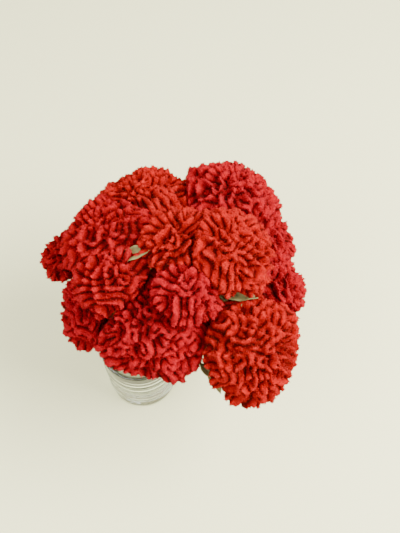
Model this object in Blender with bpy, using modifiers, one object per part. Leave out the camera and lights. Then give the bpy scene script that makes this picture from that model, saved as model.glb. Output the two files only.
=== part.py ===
"""Dried cockscomb celosia heads on their leafy stems, standing in a small glass tumbler.

Lengths in the constants are millimetres; the meshes are made in metres, +Z up.
The origin is the centre of the tumbler's foot, on the table.
"""
import math

import bmesh
import bpy
import numpy as np

MM = 0.001

# Tumbler
GLASS_HEIGHT = 90.0
MOUTH_RADIUS = 38.5
SHOULDER_RADIUS = 36.0
FOOT_RADIUS = 34.6
HEEL_HEIGHT = 7.0
HEEL_POINTS = 4
WALL = 3.6
FLOOR_THICKNESS = 32.5
RING_COUNT = 4
RING_RISE = 0.7
RING_WIDTH = 5.0
RING_SPACING = 14.0
FIRST_RING_HEIGHT = 20.0
GLASS_STEPS = 32

# Each head's centre, its radius and the seed of its folds
HEADS = {
    "top_right": ((91, 90, 206), 52, 11),
    "right_mid": ((86, 21, 240), 45, 12),
    "top_mid": ((15, 84, 206), 51, 13),
    "left_upper": ((-12, 50, 212), 51, 14),
    "far_left": ((-60, 52, 178), 32, 15),
    "left_mid": ((-9, 1, 222), 40, 16),
    "left_low": ((-29, -2, 177), 42, 17),
    "front": ((24, -16, 188), 61, 18),
    "centre_front": ((52, -16, 240), 33, 19),
    "centre": ((46, 28, 243), 38, 20),
    "low_right": ((106, -43, 181), 53, 21),
    "far_right_up": ((117, 72, 182), 41, 22),
    "far_right_low": ((127, 17, 182), 39, 23),
    "back": ((52, 116, 160), 34, 24),
    "back_left": ((-32, 96, 156), 30, 25),
}
HEAD_FOCUS = np.array([22.0, 18.0, 70.0])
DOME_HEIGHT = 0.82
UNDERSIDE_DEPTH = 0.54
NEIGHBOUR_BULGE = 0.19
NECK_CUT = 0.74
HEAD_GAP = 0.8
STEM_GAP = 3.6
PRESS_SOFTNESS = 2.0
SQUEEZE_RUN = 6.0
SQUEEZE_SHARE = 0.75

# Folds of the comb: ridges along the zero lines of a sum of waves
FOLD_WAVES = 9
FOLD_LENGTH = 22.0
FOLD_HEIGHT = 6.5
FOLD_WIDTH = 0.72
LOBE_WAVES = 4
LOBE_LENGTH = 62.0
LOBE_HEIGHT = 0.055
HEAD_SUBDIVISIONS = 5
FACES_PER_SQUARE_MM = 0.029

# Stems
STEM_RADIUS = 2.6
STEM_SIDES_LEVEL = 1
STEM_FOOT = 37.0
STEM_STEP = 14.0
STEM_SPACING = 10.4
MOST_SLANT = 1.6
STEM_ROUNDS = 300
MOUTH_HEIGHT = 96.0
MOUTH_REACH = 30.5
FOOT_REACH = 26.0
MOUTH_SCALE = 0.17
HEAD_CLEARANCE = 0.92
NECK_RUN = 8.0
NECK_FLARE = 0.19
TOUCH_GAP = 0.5

# Leaves: the stem that carries each, its height there, its tip and its width
LEAF_SPOTS = [
    ("left_upper", 168, (28, 44, 192), 16),
    ("left_upper", 160, (-36, 38, 182), 14),
    ("left_upper", 150, (-6, 20, 156), 20),
    ("far_left", 150, (-47, 47, 172), 13),
    ("far_left", 142, (-70, 62, 150), 15),
    ("left_mid", 176, (-2, 28, 184), 18),
    ("left_mid", 164, (-8, 10, 172), 18),
    ("left_low", 150, (-60, 14, 148), 15),
    ("left_low", 142, (-50, -12, 142), 15),
    ("front", 152, (-2, 16, 160), 20),
    ("front", 148, (66, -24, 150), 20),
    ("centre_front", 188, (78, -2, 190), 18),
    ("centre_front", 172, (88, 6, 176), 20),
    ("centre_front", 160, (70, -18, 160), 18),
    ("centre", 190, (20, 32, 198), 17),
    ("centre", 184, (64, 56, 204), 18),
    ("centre", 180, (58, 40, 186), 18),
    ("right_mid", 190, (92, 10, 191), 19),
    ("right_mid", 176, (88, 12, 180), 19),
    ("right_mid", 160, (90, 16, 160), 22),
    ("low_right", 140, (82, -63, 122), 16),
    ("low_right", 152, (72, -58, 136), 13),
    ("low_right", 158, (92, 12, 172), 18),
    ("low_right", 146, (68, -14, 140), 20),
    ("far_right_low", 150, (104, 16, 160), 22),
    ("far_right_up", 140, (98, 36, 140), 22),
    ("top_right", 168, (64, 70, 184), 19),
]
LEAVES_A_STEM = 2
LEAF_TRIES = 60
LEAF_LENGTHS = (32.0, 60.0)
LEAF_WIDTHS = (13.0, 22.0)
LEAF_STATIONS = 5
LEAF_THICKNESS = 1.0
LEAF_CLEARANCE = 2.2
LEAF_TO_STEM = 5.6
LEAF_TO_LEAF = 5.4
LEAF_SEED = 5

HEAD_COLOURS = {
    "crimson": (0.42, 0.012, 0.022, 1.0),
    "red": (0.50, 0.022, 0.012, 1.0),
    "orange_red": (0.58, 0.045, 0.012, 1.0),
}
CRIMSON_HEADS = ("top_right", "front", "centre_front", "far_right_up", "far_right_low", "left_low")
ORANGE_HEADS = ("right_mid", "low_right", "top_mid", "centre")
STEM_COLOUR = (0.23, 0.19, 0.07, 1.0)
GLASS_COLOUR = (0.90, 0.95, 0.92, 1.0)

NAMES = list(HEADS)
CENTRES = np.array([HEADS[name][0] for name in NAMES], dtype=float)
RADII = np.array([HEADS[name][1] for name in NAMES], dtype=float)


def unit(vectors):
    """Vectors brought to length one."""
    length = np.linalg.norm(vectors, axis=-1, keepdims=True)
    return vectors / np.maximum(length, 1e-9)


AXES = unit(CENTRES - HEAD_FOCUS)
NECKS = CENTRES - AXES * (RADII * UNDERSIDE_DEPTH * NECK_CUT)[:, None]


def clear_scene():
    """Remove what the scene holds at the start."""
    for thing in list(bpy.data.objects):
        bpy.data.objects.remove(thing, do_unlink=True)


def make_material(name, colour, roughness, transmission=0.0):
    """One Principled material."""
    material = bpy.data.materials.new(name)
    material.use_nodes = True
    shader = material.node_tree.nodes["Principled BSDF"]
    shader.inputs["Base Color"].default_value = colour
    shader.inputs["Roughness"].default_value = roughness
    shader.inputs["Metallic"].default_value = 0.0
    shader.inputs["Transmission Weight"].default_value = transmission
    material.diffuse_color = colour
    return material


def place_object(name, mesh, collection, material):
    """An object for a mesh, in a collection, with its material."""
    thing = bpy.data.objects.new(name, mesh)
    mesh.materials.clear()
    mesh.materials.append(material)
    collection.objects.link(thing)
    return thing


def plain_mesh(thing, name):
    """The evaluated mesh of an object, with its loose caps welded."""
    depsgraph = bpy.context.evaluated_depsgraph_get()
    mesh = bpy.data.meshes.new_from_object(thing.evaluated_get(depsgraph))
    mesh.name = name
    bm = bmesh.new()
    bm.from_mesh(mesh)
    bmesh.ops.remove_doubles(bm, verts=bm.verts, dist=1e-6)
    bmesh.ops.triangulate(bm, faces=bm.faces)
    bm.to_mesh(mesh)
    bm.free()
    return mesh


def wave_sum(points, seed, count, length):
    """A seeded sum of plane waves of about one length, with a spread of one."""
    rng = np.random.default_rng(seed)
    ways = unit(rng.normal(size=(count, 3)))
    numbers = 2.0 * math.pi / (length * rng.uniform(0.85, 1.15, count))
    phases = rng.uniform(0.0, 2.0 * math.pi, count)
    angles = points @ (ways * numbers[:, None]).T + phases
    return np.sin(angles).sum(axis=1) * math.sqrt(2.0 / count)


def fold_crest(points, seed):
    """How near each point is to the crest of a fold: 1 on it, 0 in a valley."""
    wave = wave_sum(points, seed, FOLD_WAVES, FOLD_LENGTH)
    return np.exp(-(wave / FOLD_WIDTH) ** 2)


def neighbour_planes(index):
    """Planes that keep a head clear of the other heads: their normals and distances."""
    away = np.delete(CENTRES, index, axis=0) - CENTRES[index]
    radii = np.delete(RADII, index)
    apart = np.linalg.norm(away, axis=1)
    reach = (apart ** 2 + RADII[index] ** 2 - radii ** 2) / (2.0 * apart)
    close = apart < (RADII[index] + radii) * (1.0 + NEIGHBOUR_BULGE)
    return away[close] / apart[close, None], reach[close] - HEAD_GAP / 2


def stem_planes(index, stems):
    """Planes that keep a head clear of the other heads' stems."""
    normals = []
    reaches = []
    for other, path in stems.items():
        if other == NAMES[index]:
            continue
        nearest = nearest_on_path(path, CENTRES[index])
        away = nearest - CENTRES[index]
        reach = np.linalg.norm(away)
        if reach < RADII[index] * (1.0 + NEIGHBOUR_BULGE) + STEM_RADIUS * 2:
            normals.append(away / reach)
            reaches.append(reach - STEM_RADIUS - STEM_GAP)
    return normals, reaches


def nearest_on_path(path, point):
    """The point of a polyline that is nearest to a point."""
    best = path[0]
    for start, end in zip(path[:-1], path[1:]):
        run = end - start
        share = np.clip((point - start) @ run / (run @ run), 0.0, 1.0)
        spot = start + run * share
        if np.linalg.norm(spot - point) < np.linalg.norm(best - point):
            best = spot
    return best


def head_surface(index, ways, planes):
    """Distance from a head's centre to its surface along unit directions."""
    radius = RADII[index]
    axis = AXES[index]
    seed = HEADS[NAMES[index]][2]
    along = ways @ axis
    across = np.sqrt(np.maximum(1.0 - along ** 2, 0.0))
    dome = 1.0 / np.sqrt((across / radius) ** 2 + (along / (radius * DOME_HEIGHT)) ** 2)
    cone = 1.0 / (across / radius + np.abs(along) / (radius * UNDERSIDE_DEPTH))
    outside = np.where(along > 0.0, dome, cone)
    below = np.minimum(along, 0.0)[:, None] * axis
    spots = unit(ways - below) * radius
    lobes = wave_sum(spots, seed + 100, LOBE_WAVES, LOBE_LENGTH)
    facing = np.array([ways @ normal for normal, _ in planes]).max(axis=0)
    outside = outside * (1.0 + NEIGHBOUR_BULGE * np.clip(facing, 0.0, 1.0) ** 3)
    fade = np.clip(1.0 + 1.35 * along, 0.0, 1.0) ** 0.7
    outside = outside * (1.0 + LOBE_HEIGHT * np.tanh(lobes) * fade - LOBE_HEIGHT)
    neck = radius * UNDERSIDE_DEPTH * NECK_CUT
    limits = [outside]
    for normal, reach in planes:
        facing = ways @ normal
        limits.append(np.where(facing > 0.02, reach / np.maximum(facing, 0.02), 1e3))
    stacked = np.array(limits)
    pressed = -PRESS_SOFTNESS * np.log(np.exp(-stacked / PRESS_SOFTNESS).sum(axis=0))
    squeezed = np.clip((outside - pressed) / SQUEEZE_RUN, 0.0, 1.0)
    fade = fade * (1.0 - SQUEEZE_SHARE * squeezed)
    pressed = pressed - FOLD_HEIGHT * fade * (1.0 - fold_crest(spots, seed))
    flat = np.where(along < -0.02, neck / np.maximum(-along, 0.02), 1e3)
    return np.minimum(pressed, flat)


def head_planes(index, stems):
    """Every plane that a head is pressed against."""
    normals, reaches = neighbour_planes(index)
    more_normals, more_reaches = stem_planes(index, stems)
    planes = list(zip(normals, reaches))
    planes.extend(zip(more_normals, more_reaches))
    return planes


def make_head(index, stems, collection, material):
    """One folded head: a round mesh pushed out to the folds, then thinned."""
    name = "head_" + NAMES[index]
    bm = bmesh.new()
    bmesh.ops.create_icosphere(bm, subdivisions=HEAD_SUBDIVISIONS, radius=1.0)
    ways = unit(np.array([vert.co[:] for vert in bm.verts]))
    reach = head_surface(index, ways, head_planes(index, stems))
    places = (CENTRES[index] + ways * reach[:, None]) * MM
    for vert, place in zip(bm.verts, places):
        vert.co = place
    faces = len(bm.faces)
    mesh = bpy.data.meshes.new(name)
    bm.to_mesh(mesh)
    bm.free()
    head = place_object(name, mesh, collection, material)
    thin = head.modifiers.new("thin", "DECIMATE")
    area = 4.0 * math.pi * RADII[index] ** 2
    thin.ratio = area * FACES_PER_SQUARE_MM / faces
    return head


def settle_stems():
    """Bend the stems clear of each other and of the heads, from their necks into the mouth."""
    count = len(NAMES)
    levels = np.arange(STEM_FOOT, NECKS[:, 2].max(), STEM_STEP)
    middle = NECKS[:, :2].mean(axis=0)
    mouths = MOUTH_SCALE * (NECKS[:, :2] - middle)
    run = np.clip((levels[None] - MOUTH_HEIGHT) / (NECKS[:, 2:] - MOUTH_HEIGHT), 0.0, 1.0)
    flat = mouths[:, None] + (NECKS[:, None, :2] - mouths[:, None]) * run[..., None]
    live = levels[None] < NECKS[:, 2:] - NECK_RUN - 2.0
    for _ in range(STEM_ROUNDS):
        flat = smooth_stems(flat, live)
        for level, height in enumerate(levels):
            here = np.flatnonzero(live[:, level])
            push_from_heads(flat, level, height, here)
            push_apart(flat, level, here)
            keep_in_mouth(flat, level, height, here)
    paths = {}
    for index in range(count):
        top = int(live[index].sum())
        path = [np.array([*flat[index, step], levels[step]]) for step in range(top)]
        path.append(NECKS[index] - AXES[index] * NECK_RUN)
        path.append(NECKS[index] - AXES[index] * TOUCH_GAP)
        paths[NAMES[index]] = np.array(path)
    return paths


def smooth_stems(flat, live):
    """Ease each stem towards a straight run between its neighbours."""
    eased = flat.copy()
    for index in range(len(NAMES)):
        top = int(live[index].sum())
        above = NECKS[index, :2] - AXES[index, :2] * NECK_RUN
        for step in range(1, top):
            upper = flat[index, step + 1] if step + 1 < top else above
            eased[index, step] = flat[index, step] * 0.5 + (flat[index, step - 1] + upper) * 0.25
        eased[index, 0] = flat[index, 0] * 0.8 + flat[index, 1] * 0.2
    return eased


def push_from_heads(flat, level, height, here):
    """Move stems sideways out of the heads at one height."""
    for index in here:
        for other in range(len(NAMES)):
            if other == index:
                continue
            away = np.array([*flat[index, level], height]) - CENTRES[other]
            wanted = RADII[other] * HEAD_CLEARANCE + STEM_RADIUS
            if np.linalg.norm(away) < wanted:
                side = np.linalg.norm(away[:2])
                need = math.sqrt(max(wanted ** 2 - away[2] ** 2, 0.0)) - side
                flat[index, level] += away[:2] / max(side, 1e-6) * need * 0.5


def push_apart(flat, level, here):
    """Move stems that are too close to each other apart at one height."""
    lower = max(level - 1, 0)
    upper = min(level + 1, flat.shape[1] - 1)
    for first in here:
        for second in here:
            if second <= first:
                continue
            away = flat[first, level] - flat[second, level]
            apart = np.linalg.norm(away)
            drift = away - (flat[first, lower] - flat[second, lower])
            if level == lower:
                drift = (flat[first, upper] - flat[second, upper]) - away
            slant = min(np.linalg.norm(drift) / STEM_STEP, MOST_SLANT)
            wanted = STEM_SPACING * math.sqrt(1.0 + slant ** 2)
            if apart < wanted:
                step = away / max(apart, 1e-6) * (wanted - apart) * 0.5
                flat[first, level] += step
                flat[second, level] -= step


def keep_in_mouth(flat, level, height, here):
    """Keep the stems inside the tumbler's wall."""
    if height > MOUTH_HEIGHT:
        return
    share = (height - STEM_FOOT) / (MOUTH_HEIGHT - STEM_FOOT)
    limit = FOOT_REACH + (MOUTH_REACH - FOOT_REACH) * share
    for index in here:
        side = np.linalg.norm(flat[index, level])
        if side > limit:
            flat[index, level] *= limit / side


def point_at_height(path, height):
    """The point of a stem at a height."""
    return np.array([np.interp(height, path[:, 2], path[:, axis]) for axis in range(3)])


def leaf_grid(base, tip, width, curl):
    """Points of one blade: left edge, rib and right edge at each station, base to tip."""
    run = tip - base
    length = np.linalg.norm(run)
    side = unit(np.cross(run, np.array([0.0, 0.0, 1.0])))
    up = unit(np.cross(side, run))
    rows = []
    for station in range(LEAF_STATIONS + 1):
        share = station / LEAF_STATIONS
        half = 0.5 * width * math.sin(math.pi * min(1.0, 0.07 + 0.93 * share ** 0.85)) ** 0.8
        half = max(half, 0.0)
        arch = curl * length * math.sin(math.pi * share) * 0.25
        rib = base + run * share + up * arch
        crease = 0.35 * half
        ripple = 0.22 * width * math.sin(2.4 * math.pi * share + curl * 9.0) * share
        left = rib - side * half + up * (crease + ripple)
        right = rib + side * half + up * (crease - ripple)
        rows.append((left, rib, right))
    return rows


def halved(grid):
    """A grid of points with the middles of its rows put in."""
    finer = np.empty((2 * len(grid) - 1, *grid.shape[1:]))
    finer[0::2] = grid
    finer[1::2] = (grid[1:] + grid[:-1]) / 2
    return finer


def gaps_to_path(path, points):
    """The distance from each point to the nearest spot of a polyline."""
    runs = path[1:] - path[:-1]
    away = points[:, None] - path[None, :-1]
    share = np.clip((away * runs).sum(axis=2) / (runs ** 2).sum(axis=1), 0.0, 1.0)
    return np.linalg.norm(away - runs * share[..., None], axis=2).min(axis=1)


def leaf_clear(rows, owner, stems, planes, taken):
    """Whether a blade keeps off the heads, the other stems, the rim and the blades before it."""
    across = halved(np.array(rows[1:])).swapaxes(0, 1)
    points = halved(across).reshape(-1, 3)
    if (points[:, 2] < GLASS_HEIGHT + 4.0).any():
        return False
    for index in range(len(NAMES)):
        away = points - CENTRES[index]
        reach = np.linalg.norm(away, axis=1)
        near = reach < RADII[index] * (1.0 + NEIGHBOUR_BULGE) + 4.0
        if near.any():
            surface = head_surface(index, unit(away[near]), planes[index])
            if (reach[near] < surface + LEAF_CLEARANCE).any():
                return False
    for other, path in stems.items():
        if other != owner and gaps_to_path(path, points).min() < LEAF_TO_STEM:
            return False
    for blade, blade_owner in taken:
        gap = np.linalg.norm(points[:, None] - blade[None], axis=2).min()
        if gap < LEAF_TO_LEAF and blade_owner != owner:
            return False
    taken.append((points, owner))
    return True


def choose_leaves(stems, planes):
    """The blades of every stem: the named ones first, then seeded ones that stay clear."""
    rng = np.random.default_rng(LEAF_SEED)
    taken = []
    leaves = {name: [] for name in NAMES}
    for name, height, tip, width in LEAF_SPOTS:
        base = point_at_height(stems[name], height)
        for shrink in (1.0, 0.9, 0.8, 0.7, 0.6, 0.5):
            goal = base + (np.array(tip, dtype=float) - base) * shrink
            rows = leaf_grid(base, goal, width * shrink, 0.4)
            if leaf_clear(rows, name, stems, planes, taken):
                leaves[name].append(rows)
                break
    for name in NAMES:
        top = stems[name][-1, 2]
        outward = unit(stems[name][-1] - HEAD_FOCUS)
        for _ in range(LEAF_TRIES):
            if len(leaves[name]) >= LEAVES_A_STEM:
                break
            height = rng.uniform(MOUTH_HEIGHT + 12.0, top - 14.0)
            base = point_at_height(stems[name], height)
            turn = rng.uniform(-1.4, 1.4)
            flat_way = np.array([
                outward[0] * math.cos(turn) - outward[1] * math.sin(turn),
                outward[0] * math.sin(turn) + outward[1] * math.cos(turn),
                rng.uniform(-0.35, 0.5),
            ])
            tip = base + unit(flat_way) * rng.uniform(*LEAF_LENGTHS)
            rows = leaf_grid(base, tip, rng.uniform(*LEAF_WIDTHS), rng.uniform(-0.6, 0.8))
            if leaf_clear(rows, name, stems, planes, taken):
                leaves[name].append(rows)
    return leaves


def make_leaf(rows, collection, material):
    """One blade: an open sheet of triangles given its thickness."""
    bm = bmesh.new()
    grid = [[bm.verts.new(point * MM) for point in row] for row in rows]
    for lower, upper in zip(grid[:-1], grid[1:]):
        for first in range(2):
            corners = (lower[first], lower[first + 1], upper[first + 1], upper[first])
            bm.faces.new((corners[0], corners[1], corners[2]))
            bm.faces.new((corners[0], corners[2], corners[3]))
    bmesh.ops.remove_doubles(bm, verts=bm.verts, dist=0.4 * MM)
    bmesh.ops.recalc_face_normals(bm, faces=bm.faces)
    mesh = bpy.data.meshes.new("blade")
    bm.to_mesh(mesh)
    bm.free()
    blade = place_object("blade", mesh, collection, material)
    thick = blade.modifiers.new("thickness", "SOLIDIFY")
    thick.thickness = LEAF_THICKNESS * MM
    thick.offset = 0.0
    return blade


def make_stem(name, path, blades, collection, material):
    """One stem as a tube that widens to its head, with its leaves joined to it."""
    curve = bpy.data.curves.new("stem_path", "CURVE")
    curve.dimensions = "3D"
    curve.bevel_depth = STEM_RADIUS * MM
    curve.bevel_resolution = STEM_SIDES_LEVEL
    curve.use_fill_caps = True
    spline = curve.splines.new("POLY")
    spline.points.add(len(path) - 1)
    flare = NECK_FLARE * HEADS[name][1] / STEM_RADIUS
    for step, point in enumerate(path):
        spline.points[step].co = (*(point * MM), 1.0)
        from_top = len(path) - 1 - step
        spline.points[step].radius = {0: flare, 1: 1.0 + (flare - 1.0) * 0.35}.get(from_top, 1.0)
    tube = bpy.data.objects.new("tube", curve)
    collection.objects.link(tube)
    mesh = plain_mesh(tube, "stem_" + name)
    bpy.data.objects.remove(tube, do_unlink=True)
    stem = place_object("stem_" + name, mesh, collection, material)
    if not blades:
        return stem
    sprigs = bpy.data.collections.new("sprigs")
    bpy.context.scene.collection.children.link(sprigs)
    for rows in blades:
        blade = make_leaf(rows, sprigs, material)
        solid = plain_mesh(blade, "blade")
        blade.modifiers.clear()
        blade.data = solid
    join = stem.modifiers.new("join", "BOOLEAN")
    join.operation = "UNION"
    join.operand_type = "COLLECTION"
    join.collection = sprigs
    join.solver = "MANIFOLD"
    joined = plain_mesh(stem, "stem_" + name)
    stem.modifiers.clear()
    stem.data = joined
    joined.materials.clear()
    joined.materials.append(material)
    for blade in list(sprigs.objects):
        bpy.data.objects.remove(blade, do_unlink=True)
    bpy.data.collections.remove(sprigs)
    return stem


def outer_radius(height):
    """The tumbler's plain outer wall at a height above its heel."""
    share = (height - HEEL_HEIGHT) / (GLASS_HEIGHT - HEEL_HEIGHT)
    return SHOULDER_RADIUS + (MOUTH_RADIUS - SHOULDER_RADIUS) * share


def glass_profile():
    """Half the tumbler's section: up its inside, over the rim, down its outside."""
    inner_floor = outer_radius(FLOOR_THICKNESS) - WALL
    rim = WALL / 2
    profile = [
        (0.0, FLOOR_THICKNESS),
        (inner_floor - 5.0, FLOOR_THICKNESS),
        (inner_floor - 1.2, FLOOR_THICKNESS + 1.4),
        (inner_floor, FLOOR_THICKNESS + 5.0),
        (MOUTH_RADIUS - WALL, GLASS_HEIGHT - rim),
        (MOUTH_RADIUS - rim * 1.6, GLASS_HEIGHT - rim * 0.25),
        (MOUTH_RADIUS - rim, GLASS_HEIGHT),
        (MOUTH_RADIUS - rim * 0.4, GLASS_HEIGHT - rim * 0.25),
        (MOUTH_RADIUS, GLASS_HEIGHT - rim),
    ]
    for ring in reversed(range(RING_COUNT)):
        middle = FIRST_RING_HEIGHT + ring * RING_SPACING
        for offset, rise in ((RING_WIDTH / 2, 0.0), (0.0, RING_RISE), (-RING_WIDTH / 2, 0.0)):
            profile.append((outer_radius(middle + offset) + rise, middle + offset))
    for step in range(HEEL_POINTS + 1):
        turn = 0.5 * math.pi * step / HEEL_POINTS
        profile.append((
            FOOT_RADIUS + (SHOULDER_RADIUS - FOOT_RADIUS) * math.cos(turn),
            HEEL_HEIGHT * (1.0 - math.sin(turn)),
        ))
    profile.append((0.0, 0.0))
    return profile


def make_glass(collection, material):
    """The tumbler, turned from its section."""
    bm = bmesh.new()
    points = [bm.verts.new((radius * MM, 0.0, height * MM)) for radius, height in glass_profile()]
    for first, second in zip(points[:-1], points[1:]):
        bm.edges.new((first, second))
    mesh = bpy.data.meshes.new("glass")
    bm.to_mesh(mesh)
    bm.free()
    glass = place_object("glass", mesh, collection, material)
    turned = glass.modifiers.new("turned", "SCREW")
    turned.angle = 2.0 * math.pi
    turned.steps = GLASS_STEPS
    turned.render_steps = GLASS_STEPS
    turned.use_merge_vertices = True
    turned.merge_threshold = 0.00001
    turned.use_smooth_shade = True
    return glass


def head_material(name, materials):
    """The colour that a head has in the bunch."""
    if name in CRIMSON_HEADS:
        return materials["crimson"]
    if name in ORANGE_HEADS:
        return materials["orange_red"]
    return materials["red"]


def main():
    """Build the whole bunch."""
    clear_scene()
    bunch = bpy.data.collections.new("cockscomb_celosia")
    bpy.context.scene.collection.children.link(bunch)
    plush = {tone: make_material(tone, colour, 0.9) for tone, colour in HEAD_COLOURS.items()}
    dried = make_material("dried_stem", STEM_COLOUR, 0.8)
    clear = make_material("clear_glass", GLASS_COLOUR, 0.05, 1.0)
    make_glass(bunch, clear)
    stems = settle_stems()
    planes = [head_planes(index, stems) for index in range(len(NAMES))]
    leaves = choose_leaves(stems, planes)
    for index, name in enumerate(NAMES):
        make_head(index, stems, bunch, head_material(name, plush))
        make_stem(name, stems[name], leaves[name], bunch, dried)


main()
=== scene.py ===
"""Dried cockscomb celosia in a glass tumbler: the finished look of every piece of the bunch."""

import math

import bmesh
import bpy
import numpy as np
from bpy.props import FloatProperty, FloatVectorProperty, IntProperty, PointerProperty
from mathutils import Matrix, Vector


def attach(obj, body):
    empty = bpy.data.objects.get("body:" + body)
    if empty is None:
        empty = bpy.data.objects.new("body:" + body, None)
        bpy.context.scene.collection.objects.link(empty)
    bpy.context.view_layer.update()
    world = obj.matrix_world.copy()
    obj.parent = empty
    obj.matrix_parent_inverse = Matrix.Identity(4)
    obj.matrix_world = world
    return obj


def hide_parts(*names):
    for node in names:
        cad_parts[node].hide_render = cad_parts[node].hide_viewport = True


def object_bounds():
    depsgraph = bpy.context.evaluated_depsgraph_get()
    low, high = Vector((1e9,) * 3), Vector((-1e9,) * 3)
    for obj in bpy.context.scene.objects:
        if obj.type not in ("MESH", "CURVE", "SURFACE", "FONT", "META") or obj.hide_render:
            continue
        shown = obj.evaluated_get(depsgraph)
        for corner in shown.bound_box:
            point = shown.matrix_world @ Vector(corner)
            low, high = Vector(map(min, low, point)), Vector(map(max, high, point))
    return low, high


bl_info = {
    "name": "Cockscomb Celosia Bunch",
    "version": (1, 0, 0),
    "blender": (4, 5, 0),
    "location": "View3D > Sidebar > Celosia",
    "description": "Makes a bunch of dried cockscomb celosia heads in a glass tumbler",
    "category": "Add Mesh",
}

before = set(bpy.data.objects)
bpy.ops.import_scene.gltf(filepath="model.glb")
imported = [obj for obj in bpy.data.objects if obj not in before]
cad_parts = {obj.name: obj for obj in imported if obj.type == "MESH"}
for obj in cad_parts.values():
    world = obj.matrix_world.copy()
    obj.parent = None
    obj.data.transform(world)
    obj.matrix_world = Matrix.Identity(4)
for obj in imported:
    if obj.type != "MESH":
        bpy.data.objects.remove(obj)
CAD_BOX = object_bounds()

MM = 0.001
BODY = "root"

# The sides of the solids' box, brought in to a whole tenth of a millimetre
BOX_STEP = 0.1 * MM
BOX_LOW, BOX_HIGH = np.trunc(np.array(CAD_BOX) / BOX_STEP) * BOX_STEP

# Each head's centre, its radius and the seed of its folds, as in the solids, in millimetres
HEADS = {
    "top_right": ((91, 90, 206), 52, 11),
    "right_mid": ((86, 21, 240), 45, 12),
    "top_mid": ((15, 84, 206), 51, 13),
    "left_upper": ((-12, 50, 212), 51, 14),
    "far_left": ((-60, 52, 178), 32, 15),
    "left_mid": ((-9, 1, 222), 40, 16),
    "left_low": ((-29, -2, 177), 42, 17),
    "front": ((24, -16, 188), 61, 18),
    "centre_front": ((52, -16, 240), 33, 19),
    "centre": ((46, 28, 243), 38, 20),
    "low_right": ((106, -43, 181), 53, 21),
    "far_right_up": ((117, 72, 182), 41, 22),
    "far_right_low": ((127, 17, 182), 39, 23),
    "back": ((52, 116, 160), 34, 24),
    "back_left": ((-32, 96, 156), 30, 25),
}
HEAD_FOCUS = np.array([22.0, 18.0, 70.0])
DOME_HEIGHT = 0.82
UNDERSIDE_DEPTH = 0.54
NEIGHBOUR_BULGE = 0.19
NECK_CUT = 0.74
HEAD_GAP = 0.8
STEM_GAP = 3.6
PRESS_SOFTNESS = 2.0
SQUEEZE_RUN = 6.0
FOLD_WAVES = 9
FOLD_LENGTH = 22.0
FOLD_HEIGHT = 6.5
FOLD_WIDTH = 0.72
LOBE_WAVES = 4
LOBE_LENGTH = 62.0
LOBE_HEIGHT = 0.055

# Where heads press together, they are flatter here and reach further than in the solids
SQUEEZE_SHARE = 0.9
HEAD_CROWD = 1.3
RIM_EASE = 0.35

# Stems, as in the solids
STEM_RADIUS = 2.6
STEM_FOOT = 37.0
STEM_STEP = 14.0
STEM_SPACING = 10.4
MOST_SLANT = 1.6
STEM_ROUNDS = 300
MOUTH_HEIGHT = 96.0
MOUTH_REACH = 30.5
FOOT_REACH = 26.0
MOUTH_SCALE = 0.17
HEAD_CLEARANCE = 0.92
NECK_RUN = 8.0
NECK_FLARE = 0.19
TOUCH_GAP = 0.5

# Leaves, as in the solids: the stem that carries each, its height there, its tip and its width
LEAF_SPOTS = [
    ("left_upper", 168, (28, 44, 192), 16),
    ("left_upper", 160, (-36, 38, 182), 14),
    ("left_upper", 150, (-6, 20, 156), 20),
    ("far_left", 150, (-47, 47, 172), 13),
    ("far_left", 142, (-70, 62, 150), 15),
    ("left_mid", 176, (-2, 28, 184), 18),
    ("left_mid", 164, (-8, 10, 172), 18),
    ("left_low", 150, (-60, 14, 148), 15),
    ("left_low", 142, (-50, -12, 142), 15),
    ("front", 152, (-2, 16, 160), 20),
    ("front", 148, (66, -24, 150), 20),
    ("centre_front", 188, (78, -2, 190), 18),
    ("centre_front", 172, (88, 6, 176), 20),
    ("centre_front", 160, (70, -18, 160), 18),
    ("centre", 190, (20, 32, 198), 17),
    ("centre", 184, (64, 56, 204), 18),
    ("centre", 180, (58, 40, 186), 18),
    ("right_mid", 190, (92, 10, 191), 19),
    ("right_mid", 176, (88, 12, 180), 19),
    ("right_mid", 160, (90, 16, 160), 22),
    ("low_right", 140, (82, -63, 122), 16),
    ("low_right", 152, (72, -58, 136), 13),
    ("low_right", 158, (92, 12, 172), 18),
    ("low_right", 146, (68, -14, 140), 20),
    ("far_right_low", 150, (104, 16, 160), 22),
    ("far_right_up", 140, (98, 36, 140), 22),
    ("top_right", 168, (64, 70, 184), 19),
]
LEAVES_A_STEM = 2
LEAF_TRIES = 60
LEAF_LENGTHS = (32.0, 60.0)
LEAF_WIDTHS = (13.0, 22.0)
LEAF_STATIONS = 5
LEAF_CLEARANCE = 2.2
LEAF_TO_STEM = 5.6
LEAF_TO_LEAF = 5.4
LEAF_SEED = 5

# Blades that only this scene has: the stem's piece, where each starts, its tip, width and curl
SHOWN_LEAVES = [
    ("left_mid", (-6, 14, 241), (24, 20, 253), 12, 0.4),
    ("left_mid", (8, 24, 240), (25, 28, 255), 8, -0.5),
    ("left_upper", (-34, 14, 206), (-14, 22, 226), 9, 0.5),
    ("far_right_low", (79, -3, 217), (113, -12, 221), 16, 0.4),
    ("low_right", (92, 2, 212), (98, -20, 224), 11, -0.5),
    ("low_right", (80, -56, 150), (61, -44, 153), 11, -0.6),
]

# Tumbler, as in the solids
GLASS_HEIGHT = 90.0
MOUTH_RADIUS = 38.5
SHOULDER_RADIUS = 36.0
FOOT_RADIUS = 34.6
HEEL_HEIGHT = 7.0
WALL = 3.6
FLOOR_THICKNESS = 32.5
RING_COUNT = 4
RING_RISE = 0.7
RING_WIDTH = 5.0
RING_SPACING = 14.0
FIRST_RING_HEIGHT = 20.0

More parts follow.
